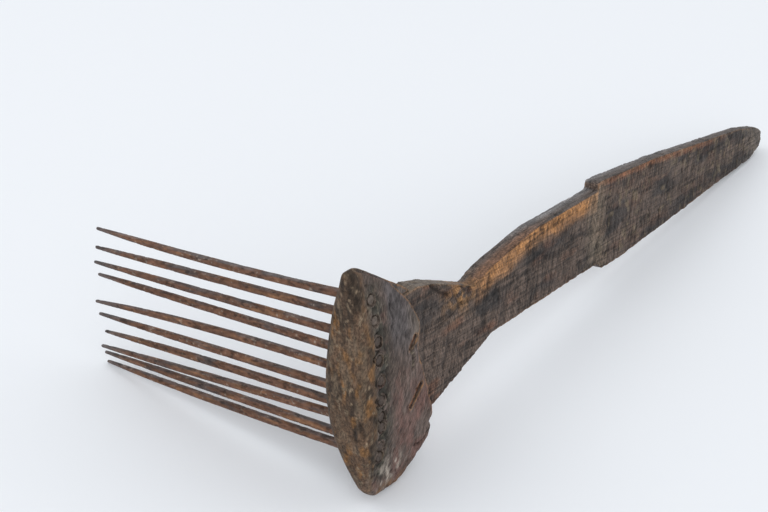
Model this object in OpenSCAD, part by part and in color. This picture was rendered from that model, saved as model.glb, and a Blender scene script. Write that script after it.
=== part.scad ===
// Hand comb for wool: ten iron tines driven through a carved wooden head, on a flat board handle.
// Bench frame: X runs from the row of tines to the handle's end, Y along the tines, Z along the head.
// Y = 0 is the back face of the handle. The comb is drawn in the bench frame and then laid down
// on its three contact points: the head's lower end, the last tine's tip and the handle's end.

/* [Head block] */
// Length of the head between its two ends
head_l = 120; // [116:1:124]
// How far the head's middle lies below the handle's middle line
head_drop = 2; // [1:0.5:3]
// Depth of the head at its middle, from the straight spine to the bow
head_w = 55; // [53:1:58]
// Width of the head at its upper end
top_w = 8.5; // [8:0.5:12]
// Width of the head at its lower end
tail_w = 23; // [20:1:26]
// How fast the bow's upper flank widens, sideways per length
top_flank = 1.6; // [1.4:0.05:1.8]
// How fast the bow's lower flank widens, sideways per length
tail_flank = 1.4; // [1.2:0.05:1.6]
// Softness of the turn from a flank to the bow
flank_turn = 2.5; // [1.5:0.5:5]
// Thickness of the head's blunt ends
end_t = 5; // [4:0.5:7]
// How far the head swells towards the tines between its ends
front_swell = 14.5; // [14:0.5:18]
// How far the head swells towards the tines' butts between its ends
back_swell = 8; // [6:0.5:9]
// Fullness of both swells: 2 is an arc, more keeps the thickness further out
swell_fullness = 2.4; // [2.2:0.1:3]
// Distance from the spine to the row of tines
row_inset = 11.5; // [10:0.5:13]
// How far the spine hollows in above the middle
top_hollow = 2; // [0:0.5:3]
// How far the spine curves in at the lower end
tail_lean = 8.5; // [6:0.5:10]
// Rounding of the head's two ends
end_round = 2.5; // [1:0.5:3]
// Rounding of the lower end beside the spine
heel_round = 9; // [4:1:12]
// Rounding of the spine beside the tines
spine_front_round = 6; // [2:0.5:7]
// Rounding of the spine beside the tines' butts
spine_back_round = 6; // [2:0.5:7]
// Rounding of the bow's two edges
bow_round = 2.5; // [1:0.5:3]

/* [Back cheek] */
// Thickness of the cheek behind the board, at the head's middle
back_cheek = 9.5; // [8.5:0.1:10.5]
// Reach of the worn upper corner of the back cheek, from the row of tines
worn_reach = 32.5; // [32:0.5:36]
// Height of that corner above the handle's middle line
worn_up = 20; // [18:1:24]
// Reach of the worn hollow below the corner
hollow_reach = 29; // [28.5:0.5:32]
// Height below the middle line where the back cheek regains its full bow
worn_to = 35; // [30:1:38]

/* [Tines] */
// Diameter of a tine in the head
tine_d = 4.6; // [3.6:0.1:5]
// Diameter of a tine at its blunt tip
tip_d = 2; // [1.4:0.1:3]
// Length of a tine from the middle of the head's tine side to its tip
tine_l = 151.5; // [100:0.5:200]
// Distance between the first and the last tine
row_l = 78.5; // [74:0.5:84]
// Height of the row's middle above the handle's middle line
row_rise = 2; // [0:0.5:4]
// Radial clearance of a tine in its bore
tine_fit = 0.05; // [0.02:0.01:0.1]
// Diameter of the pit round a tine's butt
pit_d = 5.8; // [5.4:0.1:6.2]
// Depth of the pit
pit_depth = 1.8; // [1:0.1:3]
// How far the butt stands up from the floor of its pit
butt_rise = 0.7; // [0:0.1:0.9]
// Swell of a tine's corners where it leaves the head and turns square
squareness = 0.07; // [0:0.01:0.1]

/* [Handle board] */
// Length of the handle from the row of tines to its far end
handle_l = 418; // [300:1:500]
// Thickness of the board where it enters the head
board_t = 12; // [10:0.5:13]
// Thickness of the board at its far end
board_end_t = 6; // [4:0.5:9]
// Reach of the flare's wide end from the row of tines
flare_x = 45; // [42:1:52]
// Height of the flare above the tines' middle line
flare_up = 31.5; // [28:0.5:33]
// Depth of the flare below the middle line
flare_low = 38; // [34:0.5:39]
// Place of the narrow waist behind the flare
waist_x = 91; // [75:1:105]
// Height of the waist above the middle line
waist_up = 14.5; // [9:0.5:18]
// Height of the neck above the middle line
neck_up = 25.6; // [22:0.1:28]
// Depth of the neck below the middle line
neck_low = 17.2; // [14:0.1:19]
// Place where the neck reaches its full height
neck_x = 147; // [130:1:170]
// Place of the steps between neck and grip
step_x = 212; // [190:1:240]
// Height of the upper step
step_up = 5.2; // [2:0.1:8]
// Height of the lower step
step_low = 4.6; // [2:0.1:8]
// Height of the handle's far end above the middle line
far_up = 10.5; // [7:0.5:16]
// Depth of the handle's far end below the middle line
far_low = 13; // [9:0.5:16]

/* [Joint] */
// Distance from the row of tines to the floor of the mortise
mortise_x = 8; // [6:0.5:14]
// Gap round the board in its mortise
board_fit = 0.15; // [0.05:0.05:0.3]
// Step between the handle's back face and its tongue
tongue_step = 0.6; // [0.3:0.1:1]
// Distance of the tongue's step from the edge of the back cheek
step_gap = 1.5; // [1:0.1:3]
// Thickness of a key at its driven end
key_t = 2.4; // [1.6:0.1:3]
// Thickness of a key at its tip
key_tip_t = 1.6; // [1:0.1:1.6]
// Width of the upper key
upper_key_w = 8; // [5:0.5:8.5]
// Width of the lower key
lower_key_w = 13.5; // [8:0.5:14]
// Slope of the keys across the back cheek, in degrees
key_slope = 47; // [30:1:60]
// Gap round a key
key_fit = 0.1; // [0.05:0.05:0.2]
// How far a key's driven end lies below the back of the cheek
key_sink = 1.5; // [0.5:0.1:3]
// How far a key enters the front cheek
key_grip = 3; // [1.5:0.5:3]

/* [Hidden] */
$fn = 48;
far = 400;
tine_n = 10;
// How far each tine stands above its place in an even row, from the top down
tine_shift = [0, -0.8, -2, -2, -3.2, -5, -4.4, -2.1, -2.6, 0];
// Each tine's own bend: sideways and upward drift of its tip, upward bow at its middle, extra length
tine_bend = [[1.5, -1, -1.5, -1.5], [0.5, -1.5, 0, -0.5], [-0.5, 0.5, 0, 0.5], [1, 2, 0, 0],
             [-2, -2, 1.8, 0.5], [-0.5, 1, 0, 0.5], [1, -1, 0.8, -1], [-1.5, -2, 0, 0],
             [1, 2.5, 0, 0.5], [2, 3, -0.8, 0.5]];
upper_key_at = [25.6, 11.7];
lower_key_at = [26.8, -16];
half_l = head_l / 2;
head_top = half_l - head_drop;
head_foot = -half_l - head_drop;
head_stations = 28;
corner_steps = 4;
pit_floor_lift = pit_depth - butt_rise;
wood = "#5a4636";
dark_wood = "#463a33";
key_wood = "#7a4a33";
iron = "#54392c";

// Height of a swell of rise s that spans the head, at height z
function from_middle(z) = (z + head_drop) / half_l;
function swell(z, s) = s * (1 - pow(min(1, abs(from_middle(z))), swell_fullness));
function head_back(z) = -back_cheek + back_swell - swell(z, back_swell);
function head_front(z) = -back_cheek + back_swell + end_t + swell(z, front_swell);
function spine(z) =
    let (t = from_middle(z))
    -row_inset + (t > 0 ? top_hollow * sin(180 * t) : tail_lean * t * t);
// The bow: a straight side that turns softly into a straight flank at either end
function soft_min(a, b, k) = (a + b - sqrt((a - b) * (a - b) + 4 * k * k)) / 2;
function bow(z) =
    let (side = head_w - row_inset,
         flank = from_middle(z) > 0 ? spine(head_top) + top_w + top_flank * (head_top - z)
                                    : spine(head_foot) + tail_w + tail_flank * (z - head_foot))
    soft_min(side, flank, flank_turn);
// How much a rounding r of an end takes off the section at height z
function end_inset(z, r) =
    let (u = max(0, (half_l * abs(from_middle(z)) - half_l + r) / r))
    r * (1 - sqrt(max(0, 1 - u * u)));
function corner(x, y, r, from) = [
    for (k = [0 : corner_steps])
        [x + r * cos(from + 90 * k / corner_steps), y + r * sin(from + 90 * k / corner_steps)]
];
// Section across the head at station z: four corners, each with its own rounding
function head_ring(z) =
    let (thick = head_front(z) - head_back(z), inset = end_inset(z, end_round),
         in_y = min(inset, 0.4 * thick),
         x0 = spine(z) + (from_middle(z) < 0 ? end_inset(z, heel_round) : inset), x1 = bow(z) - inset,
         y0 = head_back(z) + in_y, y1 = head_front(z) - in_y,
         most = 0.45 * min(x1 - x0, y1 - y0),
         bow_r = min(bow_round, most),
         front_r = min(spine_front_round, most), back_r = min(spine_back_round, most))
    [for (p = concat(corner(x1 - bow_r, y1 - bow_r, bow_r, 0),
                     corner(x0 + front_r, y1 - front_r, front_r, 90),
                     corner(x0 + back_r, y0 + back_r, back_r, 180),
                     corner(x1 - bow_r, y0 + bow_r, bow_r, 270))) [p[0], p[1], z]];
// Stations crowd towards the two ends, where the head turns fastest
head_rings = [for (k = [0 : head_stations]) head_ring(half_l * sin(180 * k / head_stations - 90) - head_drop)];

// Solid through rings of equal point counts, each counter-clockwise about the way they advance
module skin(rings) {
    n = len(rings[0]);
    last = len(rings) - 1;
    sides = [for (i = [0 : last - 1]) for (j = [0 : n - 1])
        let (a = i * n + j, b = i * n + (j + 1) % n) [a, a + n, b + n]];
    sides_2 = [for (i = [0 : last - 1]) for (j = [0 : n - 1])
        let (a = i * n + j, b = i * n + (j + 1) % n) [a, b + n, b]];
    ends = [[for (j = [0 : n - 1]) j], [for (j = [n - 1 : -1 : 0]) last * n + j]];
    polyhedron([for (ring = rings) for (p = ring) p], concat(sides, sides_2, ends), convexity = 6);
}

// Outline in the X-Z plane extruded from y0 to y1
module slab(y0, y1) translate([0, y1, 0]) rotate([90, 0, 0]) linear_extrude(y1 - y0) children();

// Corners given as [x, y, rounding] turned into an outline with tangent arcs
function unit(v) = v / norm(v);
function rounded(corners, steps = 6) = [
    for (i = [0 : len(corners) - 1])
        let (n = len(corners), b = corners[i],
             at = [b[0], b[1]],
             before = corners[(i + n - 1) % n], after = corners[(i + 1) % n],
             u = unit([before[0], before[1]] - at), v = unit([after[0], after[1]] - at),
             half = acos(max(-1, min(1, u * v))) / 2,
             centre = at + unit(u + v) * b[2] / sin(half),
             start = at + u * b[2] / tan(half) - centre,
             turn = (u[0] * v[1] - u[1] * v[0] > 0 ? -1 : 1) * (180 - 2 * half))
        for (k = [0 : b[2] > 0 ? steps : 0])
            let (a = turn * k / steps)
            b[2] > 0 ? centre + [start[0] * cos(a) - start[1] * sin(a),
                                 start[0] * sin(a) + start[1] * cos(a)] : at
];

// The tines
function tine_z(i) = row_rise + row_l / 2 - i * row_l / (tine_n - 1) + tine_shift[i];
function tine_exit(i) = head_front(tine_z(i));
function tine_tip(i) = head_front(0) + tine_l + tine_bend[i][3];
function tine_slope_x(i) = tine_bend[i][0] / (tine_tip(i) - tine_exit(i));
function tine_slope_z(i) = (tine_bend[i][1] + 4 * tine_bend[i][2]) / (tine_tip(i) - tine_exit(i));
// Axis of tine i at depth y: straight in the head, bowed outside it
function tine_axis(i, y) =
    let (run = tine_tip(i) - tine_exit(i), s = (y - tine_exit(i)) / run,
         drift = tine_bend[i][0] * s, lift = tine_slope_z(i) * run * s)
    s <= 0 ? [drift, y, tine_z(i) + lift]
           : [drift, y, tine_z(i) + lift - 4 * tine_bend[i][2] * s * s];
// Half thickness of a tine at share s of its free length: a slow taper, then a quick one near the tip
function tine_r(s) =
    let (slow = tine_d / 2 * (1 - 0.12 * s), quick = tine_d / 2 * 0.88 - tip_d / 2)
    slow - quick * pow(s, 5);
tine_sides = 12;
function tine_ring(i, y, r, square) = [
    for (k = [0 : tine_sides - 1])
        let (a = 15 + 360 * k / tine_sides, q = r * (1 - square * cos(4 * a)))
        tine_axis(i, y) + [q * sin(a), 0, q * cos(a)]
];
tine_steps = 15;
function tine_rings(i) =
    let (y0 = tine_exit(i), body = tine_tip(i) - tip_d / 2 - y0)
    concat([tine_ring(i, y0 - 1, 0.9 * tine_d / 2, 0)],
           [for (k = [0 : tine_steps])
                let (s = k / tine_steps)
                tine_ring(i, y0 + s * body, 0.99 * tine_r(s), squareness * min(1, 12 * s))],
           [tine_ring(i, tine_tip(i) - 0.13 * tip_d, 0.87 * tip_d / 2, squareness),
            tine_ring(i, tine_tip(i), 0.5 * tip_d / 2, 0)]);
// Turns the Z axis to the way that tine i runs through the head
module along_tine(i, y) {
    translate(tine_axis(i, y))
        rotate([0, 0, -atan(tine_slope_x(i))])
        rotate([atan(tine_slope_z(i)), 0, 0])
        rotate([-90, 0, 0])
        children();
}
function butt_y(i) = head_back(tine_z(i)) + pit_floor_lift;
module tine(i) {
    color(iron) {
        along_tine(i, butt_y(i)) cylinder(d = tine_d, h = tine_exit(i) - butt_y(i));
        skin(tine_rings(i));
    }
}

// The keys: slips that thin towards their tips, driven from the back cheek through the tongue
key_to = board_t + key_grip;
key_taper = (key_t - key_tip_t) / 2 / (key_to + back_cheek);
module key_body(width, at, gap, from, to) {
    tip = key_tip_t / 2 + gap;
    butt = tip + key_taper * (to - from);
    translate([at[0], 0, at[1]])
        rotate([0, 90 - key_slope, 0])
        translate([0, 0, -width / 2 - gap])
        linear_extrude(width + 2 * gap)
        polygon([[-butt, from], [butt, from], [tip, to], [-tip, to]]);
}
module key(width, at) color(key_wood) key_body(width, at, 0, head_back(at[1]) + key_sink, key_to);
module key_slot(width, at, y0) key_body(width, at, key_fit, y0, key_to + key_fit);
module key_slots(y0) {
    key_slot(upper_key_w, upper_key_at, y0);
    key_slot(lower_key_w, lower_key_at, y0);
}
module key_upper() key(upper_key_w, upper_key_at);
module key_lower() key(lower_key_w, lower_key_at);

// Region outside the back cheek's worn edge, moved out by a gap
worn_edge = rounded([
    [bow(head_top) - 10, head_top + 3, 0], [bow(head_top) - 4, head_top, 0], [14, worn_up + 26, 20],
    [worn_reach - 7, worn_up + 13, 14], [worn_reach, worn_up, 4], [hollow_reach, worn_up - 13, 12],
    [bow(-worn_to), -worn_to, 0], [bow(-worn_to) + 1, -worn_to - 4, 0],
    [bow(-worn_to) + 1, -flare_low - 12, 0], [far, -flare_low - 12, 0], [far, head_top + 3, 0]]);
module outside_worn_edge(gap) translate([gap, 0]) polygon(worn_edge);

module head_block() {
    color(wood) difference() {
        skin(head_rings);
        // Worn edge of the back cheek
        slab(-far / 10, tongue_step - board_fit) outside_worn_edge(0);
        // Mortise for the board
        translate([mortise_x, tongue_step - board_fit, -flare_low - board_fit])
            cube([far, board_t - tongue_step + 2 * board_fit, flare_up + flare_low + 2 * board_fit]);
        key_slots(-far / 10);
        // Bores and butt pits
        for (i = [0 : tine_n - 1]) {
            along_tine(i, -far / 10) cylinder(d = tine_d + 2 * tine_fit, h = far / 4);
            along_tine(i, -far / 10) cylinder(d = pit_d, h = far / 10 + head_back(tine_z(i)) + pit_depth);
        }
    }
}

// The handle
end_corner = 5;
handle_outline = rounded([
    [mortise_x + board_fit, -flare_low, 0], [flare_x, -flare_low, 3], [waist_x, -neck_low - 5.5, 14],
    [waist_x + 15, -neck_low, 12], [step_x, -neck_low, 0], [step_x + 6, -neck_low - step_low, 3],
    [step_x + 30, -neck_low - step_low, 60], [handle_l - 15, -far_low, 8],
    [handle_l, -far_low + 5, end_corner], [handle_l + 0.5, far_up - 9, end_corner], [handle_l - 10, far_up - 4, 12],
    [handle_l - 32, far_up + 1, 60], [step_x + 62, neck_up, 100], [step_x + 1, neck_up + step_up, 2.5],
    [step_x, neck_up, 1.5], [neck_x, neck_up, 60], [waist_x + 14, waist_up + 4.5, 20],
    [waist_x, waist_up, 2], [flare_x + 12, flare_up - 3.5, 16], [flare_x - 2, flare_up, 4],
    [mortise_x + board_fit, flare_up, 0]]);
taper_x = flare_x + 15;
taper = (board_t - board_end_t) / (handle_l - taper_x);
function board_front(x) = board_t - taper * max(0, x - taper_x);
module handle() {
    color(dark_wood) difference() {
        slab(0, board_t) polygon(handle_outline);
        // The front face tapers from the flare to the far end
        translate([taper_x, board_t, -far / 4]) rotate([0, 0, -atan(taper)])
            translate([-taper_x / 4, 0, 0]) cube([far, board_t, far / 2]);
        // The tongue lies a step below the back face
        slab(-1, tongue_step) difference() {
            translate([0, -flare_low - 6]) square([far / 4, flare_up + flare_low + 12]);
            outside_worn_edge(step_gap);
        }
        key_slots(-1);
    }
}

// The comb at rest: the plane through its three contact points becomes the ground
foot_a = [bow(head_foot) - end_round, (head_back(head_foot) + head_front(head_foot)) / 2, head_foot];
foot_b = tine_axis(9, tine_tip(9) - tip_d / 4) - [0, 0, 0.43 * tip_d];
foot_c = [handle_l - 15, board_front(handle_l - 15), -far_low];
up = unit(cross(foot_c - foot_a, foot_b - foot_a));
lift_sign = up[2] > 0 ? 1 : -1;
pitch = -atan2(up[0] * lift_sign, up[2] * lift_sign);
roll = atan2(up[1] * lift_sign, norm([up[0], up[2]]));
yaw = atan2(sin(pitch) * sin(roll), cos(pitch));
function turn_x(p, a) = [p[0], p[1] * cos(a) - p[2] * sin(a), p[1] * sin(a) + p[2] * cos(a)];
function turn_y(p, a) = [p[0] * cos(a) + p[2] * sin(a), p[1], -p[0] * sin(a) + p[2] * cos(a)];
function turn_z(p, a) = [p[0] * cos(a) - p[1] * sin(a), p[0] * sin(a) + p[1] * cos(a), p[2]];
function turned(p) = turn_z(turn_x(turn_y(p, pitch), roll), -yaw);
skin_points = concat(
    [for (ring = head_rings) for (p = ring) turned(p)],
    [for (i = [0 : tine_n - 1]) for (ring = tine_rings(i)) for (p = ring) turned(p)],
    [for (c = handle_outline) for (y = [0, board_front(c[0])]) turned([c[0], y, c[1]])]);
function low(axis) = min([for (p = skin_points) p[axis]]);
function high(axis) = max([for (p = skin_points) p[axis]]);
rest_centre = [(low(0) + high(0)) / 2, (low(1) + high(1)) / 2, low(2)];
module laid_down() translate(-rest_centre) rotate([roll, 0, -yaw]) rotate([0, pitch, 0]) children();

laid_down() head_block();
laid_down() handle();
laid_down() key_upper();
laid_down() key_lower();
laid_down() tine(0);  // tine_01
laid_down() tine(1);  // tine_02
laid_down() tine(2);  // tine_03
laid_down() tine(3);  // tine_04
laid_down() tine(4);  // tine_05
laid_down() tine(5);  // tine_06
laid_down() tine(6);  // tine_07
laid_down() tine(7);  // tine_08
laid_down() tine(8);  // tine_09
laid_down() tine(9);  // tine_10
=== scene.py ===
"""Looks of the wool comb: worn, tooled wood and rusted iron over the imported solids.

The comb is drawn in its bench frame, in millimetres, and laid down as the part's source lays it down.
Bench frame: X from the tines to the handle's end, Y along the tines, Z up along the head. Sizes, places
and depths below are millimetres on the bench, unless a comment says otherwise. Colours are linear.
"""
import math

import bmesh
import bpy
import numpy as np
from mathutils import Matrix, Vector
from mathutils.bvhtree import BVHTree


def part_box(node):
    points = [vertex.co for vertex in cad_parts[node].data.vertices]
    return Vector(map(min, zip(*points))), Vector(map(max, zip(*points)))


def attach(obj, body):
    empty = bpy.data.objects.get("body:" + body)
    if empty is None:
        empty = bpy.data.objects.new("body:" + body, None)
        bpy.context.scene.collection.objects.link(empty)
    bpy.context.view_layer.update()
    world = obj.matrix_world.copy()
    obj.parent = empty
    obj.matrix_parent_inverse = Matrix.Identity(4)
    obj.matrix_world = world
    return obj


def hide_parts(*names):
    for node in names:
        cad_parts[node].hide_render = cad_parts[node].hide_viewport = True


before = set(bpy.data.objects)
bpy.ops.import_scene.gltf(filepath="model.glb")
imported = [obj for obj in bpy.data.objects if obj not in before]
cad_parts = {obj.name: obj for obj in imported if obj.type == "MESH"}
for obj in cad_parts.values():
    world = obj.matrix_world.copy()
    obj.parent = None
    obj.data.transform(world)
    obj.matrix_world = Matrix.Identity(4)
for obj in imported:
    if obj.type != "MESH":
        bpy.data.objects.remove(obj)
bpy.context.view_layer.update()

MM = 1000
TINES = 10
# The uppermost butts, which the head's wood has nearly closed over
CLOSED_BUTTS = 2

# The turn from the bench frame to the frame of rest, and the point that becomes the origin
LAID = np.array([[0.9925302, -0.0205344, 0.1202589],
                 [0.0, 0.9857331, 0.1683157],
                 [-0.1219994, -0.1670584, 0.9783699]])
REST_CENTRE = np.array([200.824, 79.4976, -62.9743])

# Edge length of the voxels that each piece is rebuilt from
HEAD_VOXEL = 0.7
HANDLE_VOXEL = 0.8
KEY_VOXEL = 0.35
TINE_VOXEL = 0.5
# Points of a solid nearer than this many metres are one point
WELD_DISTANCE = 1e-6
# Rounds of smoothing that an edge is measured against: a broad one and a fine one
BROAD_ROUNDS = 10
FINE_ROUNDS = 3

# Scatter of the noise: large odd numbers, bit masks, each octave's shift, and the gain that fills -1 to 1
SCATTER_X, SCATTER_Y, SCATTER_Z, SCATTER_SEED = 73856093, 19349663, 83492791, 2654435761
SCATTER_MIX = 1274126177
LOW_32_BITS, LOW_16_BITS = 0xFFFFFFFF, 0xFFFF
OCTAVE_SHIFT = 17.3
NOISE_GAIN = 1.6

# The head: line of the butts, width of the band round it, the slice of a tine's end that counts as its
# butt, and the radii of the gap and the rim round each butt
BUTT_LINE_X = 1.5
BUTT_BAND = 6.0
BUTT_SLICE = 0.6
GAP_RADIUS = 2.5
RIM_RADIUS = 3.4
# Corners of the space that the mortise takes up inside the head, where the wood gets painted shade
MORTISE_LOW = (9, 0.2, -38.4)
MORTISE_HIGH = (np.inf, 12.4, 31.8)
# The handle: end of the tongue in the mortise, and the step before the grip
TONGUE_END_X = 46
STEP_X = 212
# The handle's upper edge along its length
UPPER_EDGE_X = [45, 91, 105, 147, 212, 213, 274, 386, 418]
UPPER_EDGE_Z = [31, 14.5, 18, 25.6, 25.6, 30.5, 25, 11, 7]

# Marks cut along a path of (x, z) points
HEAD_CRACK = [(41.6, -37.5), (39.4, -40.8), (36.7, -44.2), (33, -45.4), (28.3, -44.2)]
HEAD_HOLLOW = [(24.5, 8), (25.6, 3.5), (24.6, -1)]
HEAD_SPLIT = [(13, 40), (11.5, 33), (12.4, 26)]
HEAD_TEAR = [(-9, 52), (-4, 50), (3, 47.5)]
FLARE_KNOT = [(52.6, 29.5), (56, 25.5), (61, 22), (67.3, 18.3)]
FLARE_CRACK = [(47, 6), (60, 4.5), (74, 7)]

# Turns about Y that set the tool marks aslant on the head and on the handle
HEAD_SLANT = np.array([[0.85, 0, 0.53], [0, 1, 0], [-0.53, 0, 0.85]])
HANDLE_SLANT = np.array([[0.97, 0, 0.24], [0, 1, 0], [-0.24, 0, 0.97]])

# Colours of the head
HEAD_UMBER = (0.130, 0.095, 0.080)
HEAD_DARK = (0.088, 0.062, 0.050)
HEAD_RED = (0.150, 0.080, 0.065)
SPINE_BROWN = (0.112, 0.066, 0.038)
SPINE_SOOT = (0.050, 0.033, 0.022)
SPINE_ORANGE = (0.21, 0.105, 0.040)
SPINE_PALE = (0.20, 0.145, 0.095)
SPINE_TAN = (0.155, 0.112, 0.075)
BUTT_BAND_DARK = (0.052, 0.048, 0.038)
BUTT_BAND_PALE = (0.17, 0.145, 0.105)
HEAD_SLATE = (0.085, 0.078, 0.080)
HEAD_RUSSET = (0.150, 0.080, 0.066)
RIM_TAN = (0.20, 0.155, 0.115)
RIM_ORANGE = (0.30, 0.145, 0.050)
EDGE_TAN = (0.17, 0.12, 0.08)
TOE_ORANGE = (0.22, 0.115, 0.05)
RESIDUE = (0.36, 0.31, 0.26)
HOLLOW_PALE = (0.3, 0.25, 0.18)
# Painted shade: the darker colour of the head's faces that turn to the front
FRONT_SHADE = (0.10, 0.075, 0.058)
PACKED_DUST = (0.17, 0.135, 0.11)

# Colours of the handle
HANDLE_UMBER = (0.120, 0.086, 0.068)
HANDLE_DARK = (0.052, 0.042, 0.038)
HANDLE_RED = (0.150, 0.075, 0.048)
# Painted highlight: the bright strip along the top of the handle's back face, on the neck and on the grip
NECK_HIGHLIGHT = (0.50, 0.235, 0.085)
GRIP_HIGHLIGHT = (0.30, 0.125, 0.060)
HANDLE_EDGE = (0.36, 0.175, 0.07)
TOP_BROWN = (0.115, 0.092, 0.080)
TOP_RED = (0.19, 0.095, 0.052)
TOP_SILVER = (0.27, 0.26, 0.26)
FLARE_TOP = (0.19, 0.15, 0.11)
UNDER_RED = (0.27, 0.11, 0.05)
FLECK = (0.26, 0.20, 0.12)
STEP_TAN = (0.24, 0.185, 0.13)
CRUMB_ORANGE = (0.46, 0.24, 0.09)
END_GREY = (0.17, 0.15, 0.13)

# Colours of the keys and the tines
KEY_RED = (0.16, 0.07, 0.04)
KEY_DARK = (0.07, 0.04, 0.03)
IRON_BROWN = (0.150, 0.074, 0.045)
IRON_ORANGE = (0.21, 0.105, 0.055)
IRON_DARK = (0.085, 0.062, 0.055)
IRON_SHEEN = (0.135, 0.120, 0.118)
IRON_DUST = (0.30, 0.24, 0.19)
TIP_GREY = (0.115, 0.105, 0.105)
CLOSED_BUTT = (0.125, 0.098, 0.080)
OPEN_BUTT = (0.07, 0.052, 0.042)

# What all materials share: gloss, depth of the relief in metres, and the shade that a full share of dirt
# and painted shade leaves
SPECULAR = 0.2
RELIEF_DEPTH = 0.0006
DIRT_AND_SHADE_TONE = 0.22

# The studio, in metres: floor, surroundings, and lights as name, place, target, size and power
FLOOR_HALF = 6.0
FLOOR_DROP = 0.0004
FLOOR_COLOUR = (0.89, 0.91, 0.935, 1)
WORLD_COLOUR = (0.95, 0.97, 1.0, 1)
WORLD_STRENGTH = 0.84
LIGHTS = [("key", (-0.5, 0.9, 1.6), (0, 0, 0.05), 1.4, 4.5),
          ("side", (1.3, -1.5, 0.7), (0.1, -0.05, 0), 1.6, 6),
          ("fill", (-1.5, -1.1, 1.1), (0, 0, 0.05), 1.4, 5)]

# The camera, in metres, with its axes in the frame of rest, and its lens and sensor in mm
CAMERA_AT = Vector((-0.7305809, -0.4640661, 0.5690321))
CAMERA_RIGHT = Vector((0.597643, -0.801075, 0.033192))
CAMERA_DOWN = Vector((-0.428484, -0.354114, -0.831267))
CAMERA_AHEAD = Vector((0.677661, 0.482578, -0.554881))
CAMERA_LENS = 84.42
CAMERA_SENSOR = 36
CAMERA_CLIP = (0.05, 20)


def to_bench(co):
    """Points in metres in the frame of rest, turned into millimetres in the bench frame."""
    return (co * MM + REST_CENTRE) @ LAID


def lattice(ix, iy, iz, seed):
    """A value from -1 to 1 for each cell, scattered by its three numbers and the seed."""
    h = (ix * SCATTER_X) ^ (iy * SCATTER_Y) ^ (iz * SCATTER_Z) ^ (seed * SCATTER_SEED)
    h = (h ^ (h >> 13)) & LOW_32_BITS
    h = (h * SCATTER_MIX) & LOW_32_BITS
    h ^= h >> 16
    return (h & LOW_16_BITS) / (LOW_16_BITS / 2) - 1


def noise(p, size, seed, octaves=3):
    """Smooth noise from about -1 to 1 at points p, with one feature per size (three sizes)."""
    total, weight, scale = np.zeros(len(p)), 0, 1.0
    for octave in range(octaves):
        q = p * scale / np.array(size, float) + OCTAVE_SHIFT * octave
        cell = np.floor(q).astype(np.int64)
        f = q - cell
        f = f * f * (3 - 2 * f)
        value = 0
        for dx in (0, 1):
            for dy in (0, 1):
                for dz in (0, 1):
                    share = ((f[:, 0] if dx else 1 - f[:, 0]) * (f[:, 1] if dy else 1 - f[:, 1])
                             * (f[:, 2] if dz else 1 - f[:, 2]))
                    corner = lattice(cell[:, 0] + dx, cell[:, 1] + dy, cell[:, 2] + dz, seed + octave)
                    value = value + share * corner
        total += value / scale
        weight += 1 / scale
        scale *= 2
    return total / weight * NOISE_GAIN


def ramp(v, low, high):
    """0 at low and 1 at high, smooth between and level beyond. High may be the smaller of the two."""
    t = np.clip((v - low) / (high - low), 0, 1)
    return t * t * (3 - 2 * t)


def between(v, rise, fall):
    """1 between the two ramps rise and fall, each a (low, high), and 0 outside them."""
    return ramp(v, *rise) * (1 - ramp(v, *fall))


def blotches(p, size, seed, low, high, octaves=3):
    """Patches of noise from 0 to 1, none where the noise is below low and full where it is above high."""
    return ramp(noise(p, size, seed, octaves), low, high)


def hairlines(p, size, seed, wide, narrow):
    """Lines from 0 to 1 where the noise changes sign, bare beyond wide and full within narrow."""
    return ramp(np.abs(noise(p, size, seed, 2)), wide, narrow)


def spot(x, z, centre, radii):
    """A soft spot from 0 to 1 on the X-Z plane."""
    return np.exp(-(((x - centre[0]) / radii[0]) ** 2 + ((z - centre[1]) / radii[1]) ** 2))


def groove(x, z, path, half_width):
    """How deep, from 0 to 1, a point lies in a groove that follows path on the X-Z plane."""
    best = np.full(len(x), np.inf)
    for (ax, az), (bx, bz) in zip(path, path[1:]):
        length = (bx - ax) ** 2 + (bz - az) ** 2
        t = np.clip(((x - ax) * (bx - ax) + (z - az) * (bz - az)) / length, 0, 1)
        best = np.minimum(best, np.hypot(x - ax - t * (bx - ax), z - az - t * (bz - az)))
    return 1 - ramp(best, 0.3 * half_width, half_width)


def paint(base, layers):
    """A colour for each point: the base, turned towards each layer's colour by its share per point."""
    tint = np.tile(base, (len(layers[0][1]), 1))
    for colour, share in layers:
        tint = tint + (np.array(colour) - tint) * np.clip(share, 0, 1)[:, None]
    return tint


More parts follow.
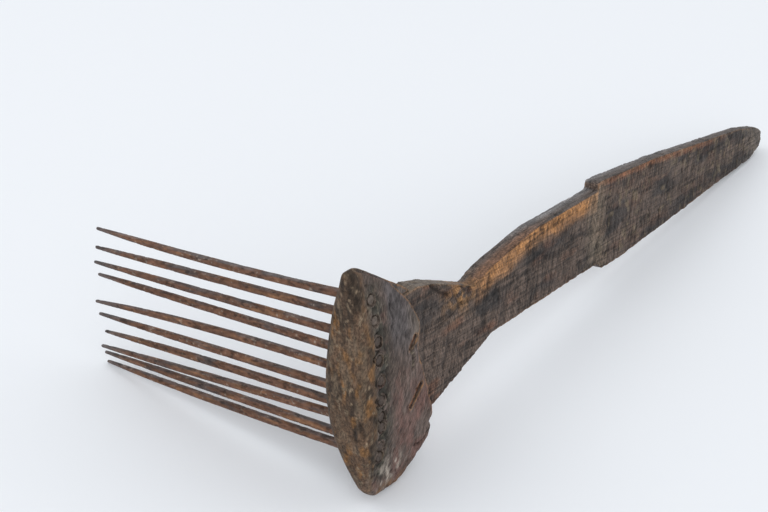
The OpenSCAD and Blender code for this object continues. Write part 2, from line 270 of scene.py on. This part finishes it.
class Sculpt:
    """A fine copy of a CAD node's mesh, cut back from its surface and tinted point by point."""

    def __init__(self, node, voxel):
        self.node = node
        copy = bpy.data.objects.new("copy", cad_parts[node].data.copy())
        bpy.context.scene.collection.objects.link(copy)
        weld = bmesh.new()
        weld.from_mesh(copy.data)
        bmesh.ops.remove_doubles(weld, verts=weld.verts, dist=WELD_DISTANCE)
        weld.to_mesh(copy.data)
        surface = BVHTree.FromBMesh(weld)
        weld.free()
        remesh = copy.modifiers.new("remesh", "REMESH")
        remesh.mode = "VOXEL"
        remesh.voxel_size = voxel / MM
        graph = bpy.context.evaluated_depsgraph_get()
        self.mesh = bpy.data.meshes.new_from_object(copy.evaluated_get(graph))
        bpy.data.objects.remove(copy)
        self.mesh.name = node
        self.co = np.empty(len(self.mesh.vertices) * 3, np.float32)
        self.mesh.vertices.foreach_get("co", self.co)
        self.co = self.co.reshape(-1, 3).astype(float)
        for k, point in enumerate(self.co):
            near = surface.find_nearest(Vector(point))[0]
            if near is not None:
                self.co[k] = near
        edges = np.empty(len(self.mesh.edges) * 2, np.int32)
        self.mesh.edges.foreach_get("vertices", edges)
        self.edges = edges.reshape(-1, 2)
        self.set_points()
        self.bench = to_bench(self.co)
        self.facing = self.normals @ LAID
        self.edge = self.convexity(BROAD_ROUNDS)
        self.fine_edge = self.convexity(FINE_ROUNDS)

    def set_points(self):
        self.mesh.vertices.foreach_set("co", self.co.astype(np.float32).ravel())
        self.mesh.update()
        normals = np.empty(len(self.co) * 3, np.float32)
        self.mesh.vertices.foreach_get("normal", normals)
        self.normals = normals.reshape(-1, 3).astype(float)

    def smoothed(self, values, rounds):
        a, b = self.edges.T
        count = np.bincount(self.edges.ravel(), minlength=len(self.co))[:, None] + 1e-9
        for _ in range(rounds):
            total = np.zeros_like(values)
            for axis in range(values.shape[1]):
                total[:, axis] = (np.bincount(a, values[b, axis], len(values))
                                  + np.bincount(b, values[a, axis], len(values)))
            values = 0.5 * values + 0.5 * total / count
        return values

    def convexity(self, rounds):
        """How far each point stands proud of its surroundings, in mm."""
        return np.sum((self.co - self.smoothed(self.co, rounds)) * self.normals, axis=1) * MM

    def cut(self, depth):
        """Moves each point inward by depth millimetres."""
        self.co = self.co - self.normals * np.maximum(depth, 0)[:, None] / MM
        self.set_points()

    def finish(self, material, tint, dirt_and_shade):
        """Keeps the mesh in its solid's box, and makes it the piece that shows in the solid's place."""
        low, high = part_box(self.node)
        self.co = np.clip(self.co, np.array(low), np.array(high))
        self.set_points()
        colour = self.mesh.attributes.new("tint", "FLOAT_COLOR", "POINT")
        rgba = np.c_[np.clip(tint, 0, 1), np.ones(len(tint))]
        colour.data.foreach_set("color", rgba.astype(np.float32).ravel())
        # Per point share of dirt, and of painted shade where a piece sets it
        dirt_and_shade_layer = self.mesh.attributes.new("dirt_and_shade", "FLOAT", "POINT")
        dirt_and_shade_layer.data.foreach_set("value", np.clip(dirt_and_shade, 0, 1).astype(np.float32))
        place = self.mesh.attributes.new("bench", "FLOAT_VECTOR", "POINT")
        place.data.foreach_set("vector", self.bench.astype(np.float32).ravel())
        self.mesh.shade_smooth()
        self.mesh.materials.clear()
        self.mesh.materials.append(material)
        piece = bpy.data.objects.new(self.node + "_worn", self.mesh)
        bpy.context.scene.collection.objects.link(piece)
        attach(piece, "root")
        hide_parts(self.node)


def surface_material(name, fibre, hatch, rough, bump, contrast):
    """Tinted surface with fibre streaks, hatch scratches and specks, all in bench millimetres.

    fibre and hatch are (scale x, y, z, turn about Y in degrees) of the two streak fields.
    """
    material = bpy.data.materials.new(name)
    material.use_nodes = True
    tree = material.node_tree
    tree.nodes.clear()

    def add(kind, inputs, **settings):
        """A new node. Each input takes a value, or the socket that feeds it."""
        node = tree.nodes.new(kind)
        for key, value in settings.items():
            setattr(node, key, value)
        for key, value in inputs.items():
            if isinstance(value, bpy.types.NodeSocket):
                tree.links.new(value, node.inputs[key])
            else:
                node.inputs[key].default_value = value
        return node

    def attribute(which, output):
        return add("ShaderNodeAttribute", {}, attribute_name=which).outputs[output]

    def streaks(scale, turn, detail):
        place = attribute("bench", "Vector")
        turned = add("ShaderNodeVectorRotate", {"Angle": math.radians(turn), "Vector": place},
                     rotation_type="Y_AXIS")
        mapping = add("ShaderNodeMapping", {"Scale": scale, "Vector": turned.outputs[0]})
        field = add("ShaderNodeTexNoise", {"Scale": 1.0, "Detail": detail, "Roughness": 0.62,
                                           "Vector": mapping.outputs[0]})
        return field.outputs["Fac"]

    def spread(value, low, high, to_low, to_high):
        return add("ShaderNodeMapRange", {"Value": value, "From Min": low, "From Max": high,
                                          "To Min": to_low, "To Max": to_high}).outputs[0]

    def maths(operation, a, b):
        return add("ShaderNodeMath", {0: a, 1: b}, operation=operation).outputs[0]

    fibres = streaks(fibre[:3], fibre[3], 6)
    hatches = streaks(hatch[:3], hatch[3], 4)
    specks = streaks((1.1, 1.1, 1.1), 0, 5)
    soft = streaks((0.16, 0.16, 0.16), 20, 3)
    tone = maths("MULTIPLY", spread(fibres, 0.3, 0.7, 1 - contrast, 1 + contrast),
                 spread(hatches, 0.42, 0.58, 1 - 0.75 * contrast, 1 + 0.5 * contrast))
    tone = maths("MULTIPLY", tone, spread(soft, 0.3, 0.7, 0.8, 1.2))
    tone = maths("MULTIPLY", tone, spread(specks, 0.66, 0.76, 1.0, 1.5))
    # darker by the share of dirt and painted shade
    tone = maths("MULTIPLY", tone, spread(attribute("dirt_and_shade", "Fac"), 0, 1, 1.0, DIRT_AND_SHADE_TONE))
    scaled = add("ShaderNodeVectorMath", {0: attribute("tint", "Color"), "Scale": tone}, operation="SCALE")
    height = maths("ADD", maths("MULTIPLY", fibres, 0.5), maths("MULTIPLY", hatches, 0.8))
    height = maths("ADD", height, maths("MULTIPLY", specks, 0.5))
    relief = add("ShaderNodeBump", {"Strength": bump, "Distance": RELIEF_DEPTH, "Height": height})
    roughness = spread(maths("ADD", fibres, specks), 0.7, 1.3, rough - 0.12, rough + 0.14)
    shader = add("ShaderNodeBsdfPrincipled", {"Base Color": scaled.outputs[0], "Roughness": roughness,
                                              "Specular IOR Level": SPECULAR, "Normal": relief.outputs[0]})
    add("ShaderNodeOutputMaterial", {"Surface": shader.outputs[0]})
    return material


head_wood = surface_material("head_wood", fibre=(0.8, 0.8, 0.17, 4), hatch=(1.5, 0.8, 0.22, -30),
                             rough=0.6, bump=0.75, contrast=0.46)
handle_wood = surface_material("handle_wood", fibre=(0.07, 0.9, 1.0, -3), hatch=(1.7, 0.9, 0.13, 18),
                               rough=0.56, bump=0.75, contrast=0.55)
key_wood = surface_material("key_wood", fibre=(0.6, 0.6, 0.6, 0), hatch=(0.8, 0.8, 0.8, 0),
                            rough=0.7, bump=0.5, contrast=0.3)
rust = surface_material("rust", fibre=(0.6, 0.07, 0.6, 0), hatch=(0.7, 0.3, 0.7, 0),
                        rough=0.58, bump=0.7, contrast=0.3)


def butt_places():
    """Where each tine's butt shows on the head's back, as (x, z) on the bench."""
    places = []
    for k in range(TINES):
        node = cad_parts["tine_%02d" % (k + 1)]
        points = to_bench(np.array([vertex.co[:] for vertex in node.data.vertices], float))
        end = points[points[:, 1] < points[:, 1].min() + BUTT_SLICE]
        places.append((end[:, 0].mean(), end[:, 2].mean()))
    return places


def butt_marks(p):
    """Three shares per point: worn rims of the pits, wood closed over a butt, and dust in its gap."""
    x, _, z = p.T
    rims = np.zeros(len(p))
    closed = np.zeros(len(p))
    dust = np.zeros(len(p))
    patches = blotches(p, (2.4, 2.4, 3.4), 40, -0.4, 0.3, 2)
    for k, (butt_x, butt_z) in enumerate(butt_places()):
        away = np.hypot(x - butt_x, z - butt_z)
        shut = k < CLOSED_BUTTS
        rims = np.maximum(rims, np.exp(-((away - RIM_RADIUS) / 1.4) ** 2) * (0.15 if shut else 1))
        gap = 1 - ramp(np.abs(away - GAP_RADIUS), 0.3, 0.5)
        dust = np.maximum(dust, gap * (1 if shut else patches))
        if shut:
            closed = np.maximum(closed, 1 - ramp(away, 3.6, 5.5))
    return rims, closed, dust


def dress_head():
    s = Sculpt("head_block", HEAD_VOXEL)
    p = s.bench
    x, y, z = p.T
    rims, closed, dust = butt_marks(p)
    at_back = ramp(-s.facing[:, 1], 0.25, 0.7)
    at_front = ramp(s.facing[:, 1], 0.25, 0.7)
    on_spine = ramp(-s.facing[:, 0], 0.3, 0.8)
    band = (np.exp(-((x - BUTT_LINE_X) / BUTT_BAND) ** 2) * at_back
            * (1 - ramp(z, 44, 54)) * (1 - ramp(-z, 46, 56)))

    uneven = 0.35 * (1 + noise(p, (16, 16, 26), 11)) / 2
    tooled = 0.28 * np.maximum(0, noise(p, (7, 7, 11), 12, 2)) ** 1.5
    pitted = 0.45 * blotches(p, (2.2, 2.2, 3.2), 13, 0.45, 0.9, 2)
    lumps = 1.15 * band * blotches(p, (2.3, 2.3, 3.0), 14, -0.25, 0.6, 2)
    chips = 1.7 * rims * at_back * blotches(p, (2.2, 3, 3.6), 18, 0.05, 0.45, 2)
    scratches = 0.16 * at_back * hairlines(p @ HEAD_SLANT, (1.4, 4, 14), 15, 0.5, 0.1)
    worn = 0.9 * ramp(s.edge, 0.25, 1.0) * (0.55 + 0.45 * noise(p, (6, 6, 9), 16, 2))
    crack = groove(x, z, HEAD_CRACK, 0.9) * at_back
    notch = spot(x, z, (42, -36.5), (2.2, 1.6))
    hollow = groove(x, z, HEAD_HOLLOW, 1.7) * at_back
    split = groove(x, z, HEAD_SPLIT, 0.55) * at_back
    tear = groove(x, z, HEAD_TEAR, 0.8) * at_back * blotches(p, (2, 2, 2), 17, -0.5, 0.2, 1)
    s.cut(uneven + tooled + pitted + lumps + chips + scratches + worn
          + 1.6 * crack + 1.5 * notch + 1.4 * hollow + 0.6 * split + 0.7 * tear)

    spine = ramp(-x + 1.2 * noise(p, (4, 4, 9), 22), 1.5, 6)
    slate = at_back * ramp(x, 6, 12) * ramp(z + 0.4 * x, 8, 30)
    russet = at_back * ramp(x, 6, 14) * (1 - ramp(z, -14, 4))
    rim = ramp(x, 20, 31) * ramp(z, 6, 16) * (0.5 + 0.5 * blotches(p, (4, 4, 7), 39, -0.4, 0.5))
    residue = spot(x, z, (9, -49), (10, 8)) * at_back
    tint = paint(HEAD_UMBER, [
        (HEAD_DARK, blotches(p, (12, 12, 20), 21, -0.1, 0.8)),
        (HEAD_RED, blotches(p, (7, 7, 16), 20, 0.1, 0.8) * 0.7),
        (SPINE_BROWN, spine * 0.85),
        (SPINE_SOOT, spine * blotches(p, (4, 4, 11), 23, -0.15, 0.45)),
        (SPINE_ORANGE, spine * blotches(p, (4, 4, 8), 38, 0.2, 0.75) * 0.85),
        (SPINE_PALE, spine * blotches(p, (1.4, 1.4, 2.2), 24, 0.4, 0.85)),
        (SPINE_TAN, on_spine * blotches(p, (3, 3, 10), 25, -0.1, 0.7) * 0.7),
        (BUTT_BAND_DARK, band * blotches(p, (3, 3, 4), 26, -0.9, 0.0)),
        (BUTT_BAND_PALE, band * blotches(p, (1.3, 1.3, 2.2), 30, 0.35, 0.75, 2) * 0.7),
        (HEAD_SLATE, slate * 0.75),
        (HEAD_RUSSET, russet * blotches(p, (6, 6, 12), 37, -0.5, 0.5) * 0.8),
        (RIM_TAN, rim * 0.6),
        (RIM_ORANGE, ramp(s.edge, 0.06, 0.5) * (x > 15) * ramp(z, -44, -30) * 0.8),
        (EDGE_TAN, ramp(s.edge, 0.15, 0.9) * 0.5),
        (TOE_ORANGE, ramp(-z, 52, 61) * blotches(p, (4, 4, 4), 27, -0.4, 0.5) * 0.8),
        (RESIDUE, residue * blotches(p, (2.2, 2.2, 4.5), 28, -0.1, 0.4, 2)),
        (HOLLOW_PALE, hollow * blotches(p, (1.5, 1.5, 1.5), 29, 0.2, 0.6)),
        # painted shade on the faces that turn to the front
        (FRONT_SHADE, at_front * 0.5),
        (PACKED_DUST, dust * (y < 3) * 0.9),
    ])

    dirt_and_shade = 0.75 * crack + 0.7 * hollow + 0.6 * split + 0.5 * tear + 0.45 * ramp(lumps, 0.25, 0.7)
    uneven_dirt = 0.5 + 0.5 * np.clip(noise(p, (2.6, 2.6, 3.6), 19), -1, 1)
    dirt_and_shade += 0.6 * ramp(-s.fine_edge, 0.02, 0.15) * uneven_dirt + 0.35 * ramp(pitted, 0.15, 0.4)
    dirt_and_shade += 0.9 * ramp(chips, 0.25, 0.9)
    dirt_and_shade *= (1 - 0.9 * closed) * (1 - 0.6 * dust)
    # Painted shade inside the mortise: the head's wood there takes a share of 0.8, as dark as heavy dirt
    in_mortise = np.all((p > MORTISE_LOW) & (p < MORTISE_HIGH), axis=1)
    s.finish(head_wood, tint, np.where(in_mortise, 0.8, dirt_and_shade))


def dress_handle():
    s = Sculpt("handle", HANDLE_VOXEL)
    p = s.bench
    x, y, z = p.T
    at_back = ramp(-s.facing[:, 1], 0.3, 0.8)
    on_top = ramp(s.facing[:, 2], 0.3, 0.8)
    below = ramp(-s.facing[:, 2], 0.3, 0.8)

    uneven = 0.28 * (1 + noise(p, (30, 14, 14), 31)) / 2
    rasped = 0.3 * at_back * hairlines(p @ HANDLE_SLANT, (1.9, 6, 22), 32, 0.42, 0.08)
    scratches = 0.12 * hairlines(p, (60, 3, 2.2), 33, 0.3, 0.05)
    dents = 0.4 * blotches(p, (4.5, 4.5, 4.5), 34, 0.45, 0.95, 2)
    worn = 1.15 * ramp(s.edge, 0.2, 1.0) * (0.6 + 0.5 * noise(p, (14, 6, 6), 35, 2))
    knot = groove(x, z, FLARE_KNOT, 1.3) * at_back
    crumbs = spot(x, z, (79, 15), (10, 6.5)) * blotches(p, (2.8, 3, 2.4), 36, -0.2, 0.35, 2)
    crack = groove(x, z, FLARE_CRACK, 0.5) * at_back
    share = np.where(x < TONGUE_END_X, 0.3, 1.0)
    s.cut(share * (uneven + rasped + scratches + dents + worn
                   + 1.2 * knot + 1.7 * crumbs * at_back + 0.5 * crack))

    over_edge = z - np.interp(x, UPPER_EDGE_X, UPPER_EDGE_Z)
    on_grip = x > STEP_X
    # Painted highlight: a bright band down from the upper edge of the back face, narrower on the grip
    wavy = over_edge + 1.5 * noise(p, (7, 5, 5), 48)
    band = at_back * ramp(wavy, -13.5, -3) * between(x, (84, 104), (330, 380))
    band *= np.where(on_grip, 0.85 * ramp(over_edge, -4.5, -1), 1.0)
    streaky = 0.3 * noise(p, (9, 5, 5), 43)
    flecks = blotches(p, (3, 2, 4), 46, 0.45, 0.8, 2)
    crumbly = spot(x, z, (80, 14), (13, 8)) * np.maximum(at_back, on_top)
    tint = paint(HANDLE_UMBER, [
        (HANDLE_DARK, blotches(p, (26, 9, 9), 41, -0.1, 0.6)),
        (HANDLE_RED, blotches(p, (18, 8, 6), 42, 0.05, 0.9) * (0.85 - 0.5 * ramp(x, 110, 200))),
        # painted highlight along the upper edge
        (NECK_HIGHLIGHT, ~on_grip * band * (0.85 + streaky)),
        (GRIP_HIGHLIGHT, on_grip * band * (0.75 + streaky)),
        (HANDLE_EDGE, ramp(s.edge, 0.1, 0.7) * (0.6 + 0.4 * noise(p, (12, 5, 5), 44))),
        (TOP_BROWN, on_top * ramp(x, 60, 90)),
        (TOP_RED, on_top * between(x, (86, 94), (130, 175)) * (1 - ramp(y, 3, 9)) * 0.8),
        (TOP_SILVER, on_top * ramp(x, 120, 160) * ramp(y, 3, 9) * 0.8),
        (FLARE_TOP, on_top * (1 - ramp(x, 60, 90)) * 0.7),
        (UNDER_RED, below * (1 - ramp(x, 90, 120)) * 0.7),
        (FLECK, flecks * at_back * ramp(x, 185, 215) * 0.35),
        (STEP_TAN, at_back * between(x, (196, 208), (213, 226)) * 0.5),
        (CRUMB_ORANGE, crumbly * blotches(p, (3, 3, 3), 49, -0.4, 0.4, 2) * 0.85),
        (END_GREY, ramp(x, 385, 415) * 0.6),
    ])

    dirt_and_shade = 0.9 * knot + 0.5 * crumbs + 0.55 * crack + 0.45 * ramp(dents, 0.15, 0.38)
    dirt_and_shade += 0.5 * ramp(rasped, 0.1, 0.22) + 0.55 * ramp(scratches, 0.05, 0.12)
    dirt_and_shade += 0.5 * ramp(-s.fine_edge, 0.02, 0.2)
    line = at_back * np.exp(-((over_edge + 6.5) / 1.6) ** 2) * between(x, (225, 245), (330, 370))
    dirt_and_shade += 0.55 * line * (0.6 + 0.4 * noise(p, (14, 4, 4), 47))
    s.finish(handle_wood, tint, dirt_and_shade)


def dress_key(node, seed):
    s = Sculpt(node, KEY_VOXEL)
    p = s.bench
    s.cut(0.12 + 0.12 * noise(p, (1.5, 3, 1.5), seed))
    tint = paint(KEY_RED, [(KEY_DARK, blotches(p, (1.2, 3, 1.2), seed + 1, -0.2, 0.5))])
    s.finish(key_wood, tint, 0.3 * ramp(p[:, 1], -9, 0))


def dress_tine(k):
    s = Sculpt("tine_%02d" % (k + 1), TINE_VOXEL)
    p = s.bench
    y = p[:, 1]
    seed = 100 + 10 * k
    free = ramp(y, 16, 22)
    uneven = 0.1 * (1 + noise(p, (5, 12, 5), seed)) / 2
    scale = 0.13 * blotches(p, (1.6, 3.2, 1.6), seed + 1, 0.2, 0.8, 2)
    worn = 0.08 * ramp(s.edge, 0.02, 0.2)
    s.cut(free * (uneven + scale + worn) + 0.02)
    upper = ramp(s.facing[:, 2], 0.25, 0.85)
    tint = paint(IRON_BROWN, [
        (IRON_ORANGE, blotches(p, (2.4, 7, 2.4), seed + 2, 0.0, 0.7)),
        (IRON_DARK, blotches(p, (3, 14, 3), seed + 3, 0.1, 0.8)),
        (IRON_SHEEN, upper * 0.6 * blotches(p, (3, 10, 3), seed + 4, -0.6, 0.4)),
        (IRON_DUST, blotches(p, (1.2, 1.6, 1.2), seed + 5, 0.7, 0.95, 2) * free * 0.7),
        (TIP_GREY, ramp(y, 145, 168) * 0.75),
        (CLOSED_BUTT if k < CLOSED_BUTTS else OPEN_BUTT, 1 - ramp(y, 2, 12)),
    ])
    s.finish(rust, tint, 0.6 * ramp(scale, 0.05, 0.12) * free)


def light(name, at, target, size, power):
    data = bpy.data.lights.new(name, "AREA")
    data.shape = "DISK"
    data.size = size
    data.energy = power
    made = bpy.data.objects.new(name, data)
    made.location = at
    made.rotation_euler = (Vector(target) - Vector(at)).to_track_quat("-Z", "Y").to_euler()
    bpy.context.scene.collection.objects.link(made)


def studio():
    """Pale floor, pale surroundings and soft lights from above."""
    mesh = bpy.data.meshes.new("floor")
    corners = [(-1, -1), (1, -1), (1, 1), (-1, 1)]
    mesh.from_pydata([(x * FLOOR_HALF, y * FLOOR_HALF, 0) for x, y in corners], [], [(0, 1, 2, 3)])
    floor = bpy.data.objects.new("floor", mesh)
    floor.location = (0, 0, -FLOOR_DROP)
    material = bpy.data.materials.new("floor")
    material.use_nodes = True
    shader = material.node_tree.nodes["Principled BSDF"]
    shader.inputs["Base Color"].default_value = FLOOR_COLOUR
    shader.inputs["Roughness"].default_value = 0.9
    shader.inputs["Specular IOR Level"].default_value = 0.1
    mesh.materials.append(material)
    bpy.context.scene.collection.objects.link(floor)
    world = bpy.data.worlds.new("studio")
    world.use_nodes = True
    background = world.node_tree.nodes["Background"]
    background.inputs["Color"].default_value = WORLD_COLOUR
    background.inputs["Strength"].default_value = WORLD_STRENGTH
    bpy.context.scene.world = world
    for name, at, target, size, power in LIGHTS:
        light(name, at, target, size, power)


def camera():
    data = bpy.data.cameras.new("camera")
    data.sensor_width = CAMERA_SENSOR
    data.lens = CAMERA_LENS
    data.clip_start, data.clip_end = CAMERA_CLIP
    made = bpy.data.objects.new("camera", data)
    turn = Matrix((CAMERA_RIGHT, -CAMERA_DOWN, -CAMERA_AHEAD)).transposed().to_4x4()
    made.matrix_world = Matrix.Translation(CAMERA_AT) @ turn
    bpy.context.scene.collection.objects.link(made)
    bpy.context.scene.camera = made


camera()
dress_head()
dress_handle()
dress_key("key_upper", 51)
dress_key("key_lower", 61)
for tine in range(TINES):
    dress_tine(tine)
studio()
bpy.context.scene.view_settings.view_transform = "Standard"
